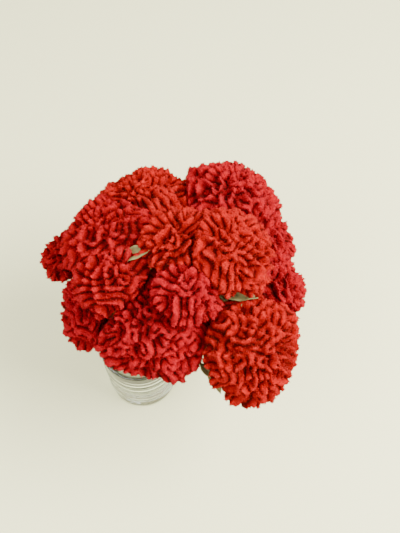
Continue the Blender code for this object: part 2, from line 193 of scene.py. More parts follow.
CRIMSON_HEADS = ("top_right", "front", "centre_front", "far_right_up", "far_right_low", "left_low")
ORANGE_HEADS = ("right_mid", "low_right", "top_mid", "centre")

NAMES = list(HEADS)
CENTRES = np.array([HEADS[name][0] for name in NAMES], dtype=float)
RADII = np.array([HEADS[name][1] for name in NAMES], dtype=float)


def unit(vectors):
    """Vectors brought to length one."""
    length = np.linalg.norm(vectors, axis=-1, keepdims=True)
    return vectors / np.maximum(length, 1e-9)


AXES = unit(CENTRES - HEAD_FOCUS)
NECKS = CENTRES - AXES * (RADII * UNDERSIDE_DEPTH * NECK_CUT)[:, None]


class CelosiaBloomSettings(bpy.types.PropertyGroup):
    """Sizes and colours of the combed heads."""

    fold_height: FloatProperty(
        name="Fold height", description="Depth of the main folds of a comb",
        default=FOLD_HEIGHT * MM, subtype="DISTANCE", unit="LENGTH",
    )
    ribbon_width: FloatProperty(
        name="Ribbon spacing", description="Distance from one plush ribbon to the next",
        default=8.4 * MM, subtype="DISTANCE", unit="LENGTH",
    )
    ribbon_height: FloatProperty(
        name="Ribbon height", description="Depth of the gaps between plush ribbons",
        default=3.6 * MM, subtype="DISTANCE", unit="LENGTH",
    )
    fuzz: FloatProperty(
        name="Fuzz", description="Roughness of the plush surface",
        default=0.5 * MM, subtype="DISTANCE", unit="LENGTH",
    )
    floret_length: FloatProperty(
        name="Floret length", description="Length of the floret tips that stand out of the plush",
        default=2.1 * MM, subtype="DISTANCE", unit="LENGTH",
    )
    floret_width: FloatProperty(
        name="Floret width", description="Width of a floret tip at its root",
        default=1.0 * MM, subtype="DISTANCE", unit="LENGTH",
    )
    floret_density: FloatProperty(
        name="Floret density", description="Floret tips on a square metre of comb",
        default=750000.0, min=0.0,
    )
    crimson: FloatVectorProperty(
        name="Crimson", description="Body colour of the crimson heads",
        default=(0.560, 0.0000, 0.0070, 1.0), subtype="COLOR", size=4, min=0.0, max=1.0,
    )
    red: FloatVectorProperty(
        name="Red", description="Body colour of the red heads",
        default=(0.570, 0.0004, 0.0022, 1.0), subtype="COLOR", size=4, min=0.0, max=1.0,
    )
    orange_red: FloatVectorProperty(
        name="Orange red", description="Body colour of the orange-red heads",
        default=(0.600, 0.0014, 0.0014, 1.0), subtype="COLOR", size=4, min=0.0, max=1.0,
    )
    seed: IntProperty(name="Seed", description="Seed of the ribbons and florets", default=3)


class CelosiaStemSettings(bpy.types.PropertyGroup):
    """Colours and curl of the stems and leaves."""

    stem_colour: FloatVectorProperty(
        name="Stem", description="Colour of the dried stems",
        default=(0.105, 0.082, 0.028, 1.0), subtype="COLOR", size=4, min=0.0, max=1.0,
    )
    leaf_colour: FloatVectorProperty(
        name="Leaf", description="Colour of the dried leaves",
        default=(0.055, 0.052, 0.012, 1.0), subtype="COLOR", size=4, min=0.0, max=1.0,
    )
    pale_colour: FloatVectorProperty(
        name="Pale edge", description="Colour of the pale ribs, veins and edges of the leaves",
        default=(0.230, 0.200, 0.075, 1.0), subtype="COLOR", size=4, min=0.0, max=1.0,
    )
    crumple: FloatProperty(
        name="Crumple", description="How far the dried blades are crumpled",
        default=1.1 * MM, subtype="DISTANCE", unit="LENGTH",
    )


class CelosiaGlassSettings(bpy.types.PropertyGroup):
    """Finish of the tumbler."""

    tint: FloatVectorProperty(
        name="Tint", description="Colour that the glass lets through",
        default=(0.93, 0.97, 0.95, 1.0), subtype="COLOR", size=4, min=0.0, max=1.0,
    )
    steps: IntProperty(
        name="Steps", description="Steps in one turn of the tumbler's wall",
        default=128, min=32, max=256,
    )


class CelosiaStageSettings(bpy.types.PropertyGroup):
    """Floor, light and camera."""

    floor_colour: FloatVectorProperty(
        name="Floor", description="Colour of the pale table",
        default=(0.865, 0.86, 0.50, 1.0), subtype="COLOR", size=4, min=0.0, max=1.0,
    )
    key_power: FloatProperty(
        name="Key light", description="Power of the large light on the right",
        default=62.0, subtype="POWER", unit="POWER",
    )
    fill_strength: FloatProperty(
        name="Fill", description="Strength of the light from all round", default=1.5,
    )


def wave_sum(points, seed, count, length):
    """A seeded sum of plane waves of about one length, with a spread of one."""
    rng = np.random.default_rng(seed)
    ways = unit(rng.normal(size=(count, 3)))
    numbers = 2.0 * math.pi / (length * rng.uniform(0.85, 1.15, count))
    phases = rng.uniform(0.0, 2.0 * math.pi, count)
    angles = points @ (ways * numbers[:, None]).T + phases
    return np.sin(angles).sum(axis=1) * math.sqrt(2.0 / count)


def fold_crest(points, seed):
    """How near each point is to the crest of a fold: 1 on it, 0 in a valley."""
    wave = wave_sum(points, seed, FOLD_WAVES, FOLD_LENGTH)
    return np.exp(-(wave / FOLD_WIDTH) ** 2)


def smooth_step(low, high, values):
    """A smooth rise from 0 at low to 1 at high."""
    share = np.clip((values - low) / (high - low), 0.0, 1.0)
    return share * share * (3.0 - 2.0 * share)


def nearest_on_path(path, point):
    """The point of a polyline that is nearest to a point."""
    best = path[0]
    for start, end in zip(path[:-1], path[1:]):
        run = end - start
        share = np.clip((point - start) @ run / (run @ run), 0.0, 1.0)
        spot = start + run * share
        if np.linalg.norm(spot - point) < np.linalg.norm(best - point):
            best = spot
    return best


def neighbour_planes(index):
    """Planes that keep a head clear of the other heads: their normals and distances."""
    away = np.delete(CENTRES, index, axis=0) - CENTRES[index]
    radii = np.delete(RADII, index)
    apart = np.linalg.norm(away, axis=1)
    reach = (apart ** 2 + RADII[index] ** 2 - radii ** 2) / (2.0 * apart)
    close = apart < (RADII[index] + radii) * (1.0 + NEIGHBOUR_BULGE)
    return away[close] / apart[close, None], reach[close] - HEAD_GAP / 2


def stem_planes(index, stems):
    """Planes that keep a head clear of the other heads' stems."""
    normals = []
    reaches = []
    for other, path in stems.items():
        if other == NAMES[index]:
            continue
        nearest = nearest_on_path(path, CENTRES[index])
        away = nearest - CENTRES[index]
        reach = np.linalg.norm(away)
        if reach < RADII[index] * (1.0 + NEIGHBOUR_BULGE) + STEM_RADIUS * 2:
            normals.append(away / reach)
            reaches.append(reach - STEM_RADIUS - STEM_GAP)
    return normals, reaches


def head_planes(index, stems):
    """Every plane that a head is pressed against."""
    normals, reaches = neighbour_planes(index)
    more_normals, more_reaches = stem_planes(index, stems)
    planes = list(zip(normals, reaches))
    planes.extend(zip(more_normals, more_reaches))
    return planes


def head_parts(index, ways, planes):
    """A head's smooth outside, its fold crests, its fade to the neck and its neck cut."""
    radius = RADII[index]
    axis = AXES[index]
    seed = HEADS[NAMES[index]][2]
    along = ways @ axis
    across = np.sqrt(np.maximum(1.0 - along ** 2, 0.0))
    dome = 1.0 / np.sqrt((across / radius) ** 2 + (along / (radius * DOME_HEIGHT)) ** 2)
    cone = 1.0 / (across / radius + np.abs(along) / (radius * UNDERSIDE_DEPTH))
    outside = np.where(along > 0.0, dome, cone)
    below = np.minimum(along, 0.0)[:, None] * axis
    spots = unit(ways - below) * radius
    lobes = wave_sum(spots, seed + 100, LOBE_WAVES, LOBE_LENGTH)
    facing = np.array([ways @ normal for normal, _ in planes]).max(axis=0)
    outside = outside * (1.0 + NEIGHBOUR_BULGE * np.clip(facing, 0.0, 1.0) ** 3)
    fade = np.clip(1.0 + 1.35 * along, 0.0, 1.0) ** 0.7
    outside = outside * (1.0 + LOBE_HEIGHT * np.tanh(lobes) * fade - LOBE_HEIGHT)
    neck = radius * UNDERSIDE_DEPTH * NECK_CUT
    limits = [outside]
    for normal, reach in planes:
        facing = ways @ normal
        limits.append(np.where(facing > 0.02, reach / np.maximum(facing, 0.02), 1e3))
    stacked = np.array(limits)
    pressed = -PRESS_SOFTNESS * np.log(np.exp(-stacked / PRESS_SOFTNESS).sum(axis=0))
    squeezed = np.clip((outside - pressed) / SQUEEZE_RUN, 0.0, 1.0)
    fade = fade * (1.0 - SQUEEZE_SHARE * squeezed)
    flat = np.where(along < -0.02, neck / np.maximum(-along, 0.02), 1e3)
    return pressed, fold_crest(spots, seed), fade, flat


def head_surface(index, ways, planes):
    """Distance from a head's centre to its plain folded surface along unit directions."""
    pressed, crest, fade, flat = head_parts(index, ways, planes)
    return np.minimum(pressed - FOLD_HEIGHT * fade * (1.0 - crest), flat)


def settle_stems():
    """Bend the stems clear of each other and of the heads, from their necks into the mouth."""
    count = len(NAMES)
    levels = np.arange(STEM_FOOT, NECKS[:, 2].max(), STEM_STEP)
    middle = NECKS[:, :2].mean(axis=0)
    mouths = MOUTH_SCALE * (NECKS[:, :2] - middle)
    run = np.clip((levels[None] - MOUTH_HEIGHT) / (NECKS[:, 2:] - MOUTH_HEIGHT), 0.0, 1.0)
    flat = mouths[:, None] + (NECKS[:, None, :2] - mouths[:, None]) * run[..., None]
    live = levels[None] < NECKS[:, 2:] - NECK_RUN - 2.0
    for _ in range(STEM_ROUNDS):
        flat = smooth_stems(flat, live)
        for level, height in enumerate(levels):
            here = np.flatnonzero(live[:, level])
            push_from_heads(flat, level, height, here)
            push_apart(flat, level, here)
            keep_in_mouth(flat, level, height, here)
    paths = {}
    for index in range(count):
        top = int(live[index].sum())
        path = [np.array([*flat[index, step], levels[step]]) for step in range(top)]
        path.append(NECKS[index] - AXES[index] * NECK_RUN)
        path.append(NECKS[index] - AXES[index] * TOUCH_GAP)
        paths[NAMES[index]] = np.array(path)
    return paths


def smooth_stems(flat, live):
    """Ease each stem towards a straight run between its neighbours."""
    eased = flat.copy()
    for index in range(len(NAMES)):
        top = int(live[index].sum())
        above = NECKS[index, :2] - AXES[index, :2] * NECK_RUN
        for step in range(1, top):
            upper = flat[index, step + 1] if step + 1 < top else above
            eased[index, step] = flat[index, step] * 0.5 + (flat[index, step - 1] + upper) * 0.25
        eased[index, 0] = flat[index, 0] * 0.8 + flat[index, 1] * 0.2
    return eased


def push_from_heads(flat, level, height, here):
    """Move stems sideways out of the heads at one height."""
    for index in here:
        for other in range(len(NAMES)):
            if other == index:
                continue
            away = np.array([*flat[index, level], height]) - CENTRES[other]
            wanted = RADII[other] * HEAD_CLEARANCE + STEM_RADIUS
            if np.linalg.norm(away) < wanted:
                side = np.linalg.norm(away[:2])
                need = math.sqrt(max(wanted ** 2 - away[2] ** 2, 0.0)) - side
                flat[index, level] += away[:2] / max(side, 1e-6) * need * 0.5


def push_apart(flat, level, here):
    """Move stems that are too close to each other apart at one height."""
    lower = max(level - 1, 0)
    upper = min(level + 1, flat.shape[1] - 1)
    for first in here:
        for second in here:
            if second <= first:
                continue
            away = flat[first, level] - flat[second, level]
            apart = np.linalg.norm(away)
            drift = away - (flat[first, lower] - flat[second, lower])
            if level == lower:
                drift = (flat[first, upper] - flat[second, upper]) - away
            slant = min(np.linalg.norm(drift) / STEM_STEP, MOST_SLANT)
            wanted = STEM_SPACING * math.sqrt(1.0 + slant ** 2)
            if apart < wanted:
                step = away / max(apart, 1e-6) * (wanted - apart) * 0.5
                flat[first, level] += step
                flat[second, level] -= step


def keep_in_mouth(flat, level, height, here):
    """Keep the stems inside the tumbler's wall."""
    if height > MOUTH_HEIGHT:
        return
    share = (height - STEM_FOOT) / (MOUTH_HEIGHT - STEM_FOOT)
    limit = FOOT_REACH + (MOUTH_REACH - FOOT_REACH) * share
    for index in here:
        side = np.linalg.norm(flat[index, level])
        if side > limit:
            flat[index, level] *= limit / side


def point_at_height(path, height):
    """The point of a stem at a height."""
    return np.array([np.interp(height, path[:, 2], path[:, axis]) for axis in range(3)])


def leaf_grid(base, tip, width, curl):
    """Points of one blade: left edge, rib and right edge at each station, base to tip."""
    run = tip - base
    length = np.linalg.norm(run)
    side = unit(np.cross(run, np.array([0.0, 0.0, 1.0])))
    up = unit(np.cross(side, run))
    rows = []
    for station in range(LEAF_STATIONS + 1):
        share = station / LEAF_STATIONS
        half = 0.5 * width * math.sin(math.pi * min(1.0, 0.07 + 0.93 * share ** 0.85)) ** 0.8
        half = max(half, 0.0)
        arch = curl * length * math.sin(math.pi * share) * 0.25
        rib = base + run * share + up * arch
        crease = 0.35 * half
        ripple = 0.22 * width * math.sin(2.4 * math.pi * share + curl * 9.0) * share
        left = rib - side * half + up * (crease + ripple)
        right = rib + side * half + up * (crease - ripple)
        rows.append((left, rib, right))
    return rows


def halved(grid):
    """A grid of points with the middles of its rows put in."""
    finer = np.empty((2 * len(grid) - 1, *grid.shape[1:]))
    finer[0::2] = grid
    finer[1::2] = (grid[1:] + grid[:-1]) / 2
    return finer


def gaps_to_path(path, points):
    """The distance from each point to the nearest spot of a polyline."""
    runs = path[1:] - path[:-1]
    away = points[:, None] - path[None, :-1]
    share = np.clip((away * runs).sum(axis=2) / (runs ** 2).sum(axis=1), 0.0, 1.0)
    return np.linalg.norm(away - runs * share[..., None], axis=2).min(axis=1)


def leaf_clear(rows, owner, stems, planes, taken):
    """Whether a blade keeps off the heads, the other stems, the rim and the blades before it."""
    across = halved(np.array(rows[1:])).swapaxes(0, 1)
    points = halved(across).reshape(-1, 3)
    if (points[:, 2] < GLASS_HEIGHT + 4.0).any():
        return False
    for index in range(len(NAMES)):
        away = points - CENTRES[index]
        reach = np.linalg.norm(away, axis=1)
        near = reach < RADII[index] * (1.0 + NEIGHBOUR_BULGE) + 4.0
        if near.any():
            surface = head_surface(index, unit(away[near]), planes[index])
            if (reach[near] < surface + LEAF_CLEARANCE).any():
                return False
    for other, path in stems.items():
        if other != owner and gaps_to_path(path, points).min() < LEAF_TO_STEM:
            return False
    for blade, blade_owner in taken:
        gap = np.linalg.norm(points[:, None] - blade[None], axis=2).min()
        if gap < LEAF_TO_LEAF and blade_owner != owner:
            return False
    taken.append((points, owner))
    return True


def choose_leaves(stems, planes):
    """The blades of every stem: the named ones first, then seeded ones that stay clear."""
    rng = np.random.default_rng(LEAF_SEED)
    taken = []
    leaves = {name: [] for name in NAMES}
    for name, height, tip, width in LEAF_SPOTS:
        base = point_at_height(stems[name], height)
        for shrink in (1.0, 0.9, 0.8, 0.7, 0.6, 0.5):
            goal = base + (np.array(tip, dtype=float) - base) * shrink
            rows = leaf_grid(base, goal, width * shrink, 0.4)
            if leaf_clear(rows, name, stems, planes, taken):
                leaves[name].append(rows)
                break
    for name in NAMES:
        top = stems[name][-1, 2]
        outward = unit(stems[name][-1] - HEAD_FOCUS)
        for _ in range(LEAF_TRIES):
            if len(leaves[name]) >= LEAVES_A_STEM:
                break
            height = rng.uniform(MOUTH_HEIGHT + 12.0, top - 14.0)
            base = point_at_height(stems[name], height)
            turn = rng.uniform(-1.4, 1.4)
            flat_way = np.array([
                outward[0] * math.cos(turn) - outward[1] * math.sin(turn),
                outward[0] * math.sin(turn) + outward[1] * math.cos(turn),
                rng.uniform(-0.35, 0.5),
            ])
            tip = base + unit(flat_way) * rng.uniform(*LEAF_LENGTHS)
            rows = leaf_grid(base, tip, rng.uniform(*LEAF_WIDTHS), rng.uniform(-0.6, 0.8))
            if leaf_clear(rows, name, stems, planes, taken):
                leaves[name].append(rows)
    return leaves


# What plan() has worked out
PLAN = {}

# Combs: how fine the mesh is, how the ribbons grow, and the bumps and lobes on them
SPHERE_LEVEL = 6
MOST_HEAD_FACES = 33000
RIBBON_TIME = 45.0
RIBBON_STEP = 0.12
RIBBON_GROWTH = 0.5
RIM_BAND = 0.16
PLEAT_SHARE = 0.25
SMALL_BUMP_LENGTH = 3.6
SMALL_BUMP_HEIGHT = 0.4
LOBELET_LENGTH = 9.0
LOBELET_HEIGHT = 1.6

# Stalks, blades and tumbler: how fine each mesh is, and a blade's thickness
STEM_SIDES = 10
STEM_RIBS = 5
STEM_RINGS = 4
BLADE_STATIONS = 26
BLADE_ACROSS = 9
BLADE_THICKNESS = 0.7
GLASS_STEP = 1.2


def plan():
    """The stems, the planes between the heads and the leaves, worked out once."""
    if not PLAN:
        PLAN["stems"] = settle_stems()
        PLAN["planes"] = [head_planes(index, PLAN["stems"]) for index in range(len(NAMES))]
        PLAN["leaves"] = choose_leaves(PLAN["stems"], PLAN["planes"])
        for name, start, tip, width, curl in SHOWN_LEAVES:
            ends = np.array([start, tip], dtype=float)
            PLAN["leaves"][name].append(leaf_grid(ends[0], ends[1], width, curl))
    return PLAN


def round_mesh(level):
    """The points and triangles of an icosphere."""
    bm = bmesh.new()
    bmesh.ops.create_icosphere(bm, subdivisions=level, radius=1.0)
    bm.verts.ensure_lookup_table()
    ways = unit(np.array([vert.co[:] for vert in bm.verts]))
    faces = np.array([[vert.index for vert in face.verts] for face in bm.faces])
    bm.free()
    return ways, faces


def split_faces(ways, faces):
    """Each triangle in four; pairs are the two old points that each new one lies between."""
    edges = np.sort(np.vstack([faces[:, [0, 1]], faces[:, [1, 2]], faces[:, [2, 0]]]), axis=1)
    pairs, inverse = np.unique(edges, axis=0, return_inverse=True)
    first, second, third = faces.T
    one, two, three = inverse.reshape(3, -1) + len(ways)
    finer = np.vstack([
        np.column_stack([first, one, three]),
        np.column_stack([one, second, two]),
        np.column_stack([three, two, third]),
        np.column_stack([one, two, three]),
    ])
    middles = unit(ways[pairs[:, 0]] + ways[pairs[:, 1]])
    return np.vstack([ways, middles]), finer, pairs


def neighbours_of(faces, count):
    """The points joined to each point of a triangle mesh, six to a row."""
    edges = np.vstack([faces[:, [0, 1]], faces[:, [1, 2]], faces[:, [2, 0]]])
    edges = edges[np.argsort(edges[:, 0], kind="stable")]
    starts = np.searchsorted(edges[:, 0], np.arange(count))
    ends = np.append(starts[1:], len(edges))
    columns = []
    for step in range(6):
        columns.append(edges[np.where(starts + step < ends, starts + step, starts), 1])
    return np.column_stack(columns)


def turn_about(index, ways):
    """The angle of each direction about a head's axis."""
    axis = AXES[index]
    side = unit(np.cross(axis, np.array([0.31, 0.95, 0.0])))
    other = np.cross(axis, side)
    return np.arctan2(ways @ other, ways @ side)


def ribbon_field(index, ways, faces, spacing, seed):
    """Meandering stripes of one width, grown from noise and from the rim's pleats."""
    radius = RADII[index]
    nearby = neighbours_of(faces, len(ways))
    edge = np.linalg.norm(ways[faces[:, 0]] - ways[faces[:, 1]], axis=1).mean() * radius
    number = 2.0 * math.pi / spacing
    gain = 4.0 / (edge * number) ** 2
    rng = np.random.default_rng(seed * 31 + index)
    along = ways @ AXES[index]
    pleats = round(2.0 * math.pi * radius / spacing)
    rim = np.cos(pleats * turn_about(index, ways)) * np.exp(-(along / RIM_BAND) ** 2)
    field = rng.normal(size=len(ways)) * 0.25 + rim * PLEAT_SHARE
    step = min(RIBBON_STEP, 1.2 / (1.5 * gain - 1.0) ** 2)
    for _ in range(round(RIBBON_TIME / step)):
        once = field + gain * (field[nearby].mean(axis=1) - field)
        twice = once + gain * (once[nearby].mean(axis=1) - once)
        field = field + step * (RIBBON_GROWTH * field - twice - field ** 3)
    return field


def head_shape(index, settings, planes):
    """The points, triangles and crest values of one plush head; the crest values also carry painted
    shade.
    """
    ways, faces = round_mesh(SPHERE_LEVEL)
    spacing = settings.ribbon_width / MM
    stripes = ribbon_field(index, ways, faces, spacing, settings.seed)
    ways, faces, pairs = split_faces(ways, faces)
    stripes = np.append(stripes, stripes[pairs].mean(axis=1))
    radius = RADII[index]
    crowded = [(normal, reach + HEAD_CROWD) for normal, reach in planes]
    along = ways @ AXES[index]
    pleats = round(2.0 * math.pi * radius / spacing)
    ribs = 0.8 * np.cos(pleats * turn_about(index, ways))
    under = smooth_step(0.0, -0.22, along)
    stripes = stripes * (1.0 - under) + ribs * under
    ribbon = np.sqrt(smooth_step(-0.85, 0.45, stripes))
    pressed, crest, fade, flat = head_parts(index, ways, crowded)
    rng = np.random.default_rng(settings.seed * 77 + index)
    bumps = wave_sum(ways * radius, index + 500, 12, SMALL_BUMP_LENGTH) * SMALL_BUMP_HEIGHT
    fuzz = rng.normal(size=len(ways)) * settings.fuzz / MM
    reach = pressed - settings.fold_height / MM * fade * (1.0 - crest)
    ribbon_height = settings.ribbon_height / MM * (1.0 - RIM_EASE * np.exp(-(along / 0.3) ** 2))
    reach -= ribbon_height * fade * (1.0 - ribbon)
    reach += (bumps - SMALL_BUMP_HEIGHT + np.minimum(fuzz, settings.fuzz / MM)) * ribbon * fade
    lobes = wave_sum(ways * radius, index + 900, 14, LOBELET_LENGTH)
    reach -= LOBELET_HEIGHT * smooth_step(0.1, 1.3, lobes) * ribbon * fade
    reach = np.minimum(reach, flat)
    points = CENTRES[index] + ways * reach[:, None]
    # Crest value for the colour, with painted shade: low in the gaps between ribbons and in fold valleys,
    # falling towards the underside and in the lobelet dents
    height = ribbon * (0.45 + 0.55 * crest) * smooth_step(-0.75, -0.1, along)
    height *= 1.0 - 0.35 * smooth_step(0.3, 1.3, lobes)
    return points * MM, faces, height, along


def mesh_from(name, points, faces):
    """A mesh from arrays of points and triangles or quads."""
    mesh = bpy.data.meshes.new(name)
    mesh.from_pydata(points.tolist(), [], faces.tolist())
    mesh.update()
    return mesh


def add_value(mesh, name, values):
    """A number at each point of a mesh, for its material to read."""
    attribute = mesh.attributes.new(name, "FLOAT", "POINT")
    attribute.data.foreach_set("value", np.ascontiguousarray(values, dtype=np.float32))


def new_piece(name, mesh, material):
    """An object at the origin for a mesh, with its material."""
    mesh.materials.clear()
    mesh.materials.append(material)
    piece = bpy.data.objects.new(name, mesh)
    bpy.context.scene.collection.objects.link(piece)
    return piece


def settle_modifiers(piece, material):
    """Turn what a piece's modifiers make into its own plain mesh, and remove them."""
    depsgraph = bpy.context.evaluated_depsgraph_get()
    mesh = bpy.data.meshes.new_from_object(piece.evaluated_get(depsgraph))
    piece.modifiers.clear()
    piece.data = mesh
    mesh.materials.clear()
    mesh.materials.append(material)
    mesh.polygons.foreach_set("material_index", np.zeros(len(mesh.polygons), dtype=np.int32))
    mesh.update()
    return piece


def keep_in_box(mesh):
    """Bring the points that stand out of the whole bunch's box back to its sides."""
    points = np.empty(len(mesh.vertices) * 3, dtype=np.float32)
    mesh.vertices.foreach_get("co", points)
    points = np.clip(points.reshape(-1, 3), BOX_LOW, BOX_HIGH)
    mesh.vertices.foreach_set("co", points.ravel())
    mesh.update()


def finish_piece(piece, node):
    """Fix a piece to the bunch in place of a node."""
    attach(piece, BODY)
    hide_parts(node)


class Tree:
    """A small helper that adds and joins the nodes of one tree."""

    def __init__(self, tree):
        self.nodes = tree.nodes
        self.links = tree.links

    def add(self, kind, **values):
        """A node with its settings and the values of its inputs."""
        node = self.nodes.new(kind)
        for name, value in values.items():
            if hasattr(node, name):
                setattr(node, name, value)
        return node

    def join(self, start, end):
        """A link from an output socket to an input socket."""
        self.links.new(start, end)

    def maths(self, operation, first, second=None, clamp=False):
        """A Math node; numbers are set, and sockets are joined."""
        node = self.nodes.new("ShaderNodeMath")
        node.operation = operation
        node.use_clamp = clamp
        for socket, value in zip(node.inputs, (first, second)):
            if value is None:
                continue
            if isinstance(value, (int, float)):
                socket.default_value = value
            else:
                self.links.new(value, socket)
        return node.outputs[0]

    def mix(self, share, first, second):
        """A mix of two colours by a share."""
        node = self.nodes.new("ShaderNodeMix")
        node.data_type = "RGBA"
        for socket, value in ((node.inputs[0], share), (node.inputs[6], first), (node.inputs[7], second)):
            if isinstance(value, bpy.types.NodeSocket):
                self.links.new(value, socket)
            else:
                socket.default_value = value
        return node.outputs[2]

    def noise(self, vector, scale, detail=2.0, roughness=0.5):
        """A noise pattern's value."""
        node = self.nodes.new("ShaderNodeTexNoise")
        node.inputs["Scale"].default_value = scale
        node.inputs["Detail"].default_value = detail
        node.inputs["Roughness"].default_value = roughness
        self.links.new(vector, node.inputs["Vector"])
        return node.outputs["Fac"]

    def ramp(self, value, low, high):
        """A value stretched so that low is 0 and high is 1."""
        node = self.nodes.new("ShaderNodeMapRange")
        node.inputs["From Min"].default_value = low
        node.inputs["From Max"].default_value = high
        self.links.new(value, node.inputs["Value"])
        return node.outputs["Result"]

    def bump(self, height, strength, distance):
        """A normal bent by a height."""
        node = self.nodes.new("ShaderNodeBump")
        node.inputs["Strength"].default_value = strength
        node.inputs["Distance"].default_value = distance
        self.links.new(height, node.inputs["Height"])
        return node.outputs["Normal"]


def new_material(name):
    """A material with its tree helper, its shader and its object coordinates."""
    material = bpy.data.materials.new(name)
    material.use_nodes = True
    tree = Tree(material.node_tree)
    shader = material.node_tree.nodes["Principled BSDF"]
    coordinates = tree.add("ShaderNodeTexCoord").outputs["Object"]
    return material, tree, shader, coordinates


def scaled(colour, factor):
    """A colour made lighter or darker."""
    return tuple(min(1.0, part * factor) for part in colour[:3]) + (1.0,)


def blended(first, second, share):
    """A colour between two."""
    return tuple(a * (1.0 - share) + b * share for a, b in zip(first[:3], second[:3])) + (1.0,)


# Pale tip colours: a painted highlight on the ribbon crests and the floret tips; a little of each also
# tints the random colour patches
ROSE_TIP_HIGHLIGHT = (0.98, 0.036, 0.064, 1.0)
ORANGE_TIP_HIGHLIGHT = (1.0, 0.060, 0.046, 1.0)
UNDERSIDE_TAN = (0.24, 0.075, 0.022, 1.0)

# Plush: how fine its patches, speckles and grain are, and how strongly each colour shows, the painted
# highlight on crests and floret tips included
PATCH_SCALE = 38.0
SPECKLE_SCALE = 520.0
GRAIN_SCALE = 1300.0
GRAIN_SHARE = 0.5
CREST_HIGHLIGHT_SHARE = 0.5
FLORET_HIGHLIGHT_SHARE = 0.7
UNDERSIDE_SHARE = 0.75


def plush_material(name, body, tip, shift):
    """Chenille-like comb: painted shade in the gaps, full colour on the sides, pale fuzzy tips as a
    painted highlight.
    """
    material, tree, shader, place = new_material(name)
    crest = tree.add("ShaderNodeAttribute", attribute_name="crest").outputs["Fac"]
    under = tree.add("ShaderNodeAttribute", attribute_name="underside").outputs["Fac"]
    point = tree.add("ShaderNodeAttribute", attribute_name="floret_tip").outputs["Fac"]
    patch = tree.ramp(tree.noise(place, PATCH_SCALE, 3.0), 0.32, 0.68)
    speckle = tree.ramp(tree.noise(place, SPECKLE_SCALE, 3.0, 0.7), 0.38, 0.66)
    grain = tree.ramp(tree.noise(place, GRAIN_SCALE, 2.0, 0.6), 0.3, 0.7)
    base = tree.mix(patch, body, shift)
    # Painted shade: a nearly black colour where the crest value is low, in the gaps between ribbons, fold
    # valleys, dents and underneath
    gap_shade = tree.mix(patch, scaled(body, 0.05), scaled(shift, 0.07))
    colour = tree.mix(tree.ramp(crest, 0.18, 0.7), gap_shade, base)
    colour = tree.mix(tree.maths("MULTIPLY", grain, GRAIN_SHARE), colour, scaled(body, 0.30))
    # Painted highlight: pale tip colour in speckles on the ribbon crests
    pale = tree.maths("MULTIPLY", speckle, CREST_HIGHLIGHT_SHARE)
    fuzz = tree.maths("MULTIPLY", tree.ramp(crest, 0.55, 1.0), pale)
    # Painted highlight: pale tip colour up the length of each floret
    points = tree.maths("MULTIPLY", point, FLORET_HIGHLIGHT_SHARE)
    colour = tree.mix(tree.maths("MAXIMUM", fuzz, points), colour, tip)
    colour = tree.mix(tree.maths("MULTIPLY", under, UNDERSIDE_SHARE), colour, UNDERSIDE_TAN)
    tree.join(colour, shader.inputs["Base Color"])
    tree.join(tree.maths("ADD", tree.maths("MULTIPLY", grain, 0.12), 0.82), shader.inputs["Roughness"])
    tree.join(tree.bump(speckle, 1.0, 0.0014), shader.inputs["Normal"])
    shader.inputs["Sheen Weight"].default_value = 0.05
    shader.inputs["Sheen Roughness"].default_value = 0.45
    shader.inputs["Sheen Tint"].default_value = (1.0, 0.25, 0.22, 1.0)
    shader.inputs["Specular IOR Level"].default_value = 0.02
    return material


def dried_material(name, body, pale, dark):
    """Dried leaf or stem: streaked, patchy and matt."""
    material, tree, shader, place = new_material(name)
    blade = tree.add("ShaderNodeAttribute", attribute_name="rib").outputs["Fac"]
    patch = tree.ramp(tree.noise(place, 60.0, 4.0), 0.3, 0.7)
    streak_place = tree.add("ShaderNodeMapping")
    streak_place.inputs["Scale"].default_value = (1.0, 1.0, 0.12)
    tree.join(place, streak_place.inputs["Vector"])
    streak = tree.noise(streak_place.outputs["Vector"], 700.0, 4.0, 0.6)
    colour = tree.mix(patch, body, pale)
    colour = tree.mix(tree.ramp(streak, 0.35, 0.75), colour, dark)
    colour = tree.mix(tree.maths("MULTIPLY", blade, 0.7), colour, pale)
    tree.join(colour, shader.inputs["Base Color"])
    tree.join(tree.maths("ADD", tree.maths("MULTIPLY", patch, 0.15), 0.62), shader.inputs["Roughness"])
    tree.join(tree.bump(streak, 0.5, 0.0006), shader.inputs["Normal"])
    shader.inputs["Specular IOR Level"].default_value = 0.3
    return material


def glass_material(tint):
    """Clear tumbler glass with a faint waviness and faint smears."""
    material, tree, shader, place = new_material("tumbler_glass")
    smear = tree.ramp(tree.noise(place, 45.0, 4.0, 0.65), 0.5, 0.8)
    tree.join(tree.mix(smear, tint, scaled(tint, 0.97)), shader.inputs["Base Color"])
    tree.join(tree.maths("ADD", tree.maths("MULTIPLY", smear, 0.05), 0.01), shader.inputs["Roughness"])
    tree.join(tree.bump(tree.noise(place, 70.0, 2.0), 0.25, 0.0008), shader.inputs["Normal"])
    shader.inputs["Transmission Weight"].default_value = 1.0
    shader.inputs["IOR"].default_value = 1.5
    return material


def floor_material(colour):
    """Pale matt table."""
    material, tree, shader, place = new_material("pale_table")
    cloud = tree.noise(place, 3.0, 3.0)
    tree.join(tree.mix(cloud, scaled(colour, 0.98), scaled(colour, 1.02)), shader.inputs["Base Color"])
    shader.inputs["Roughness"].default_value = 0.6
    return material


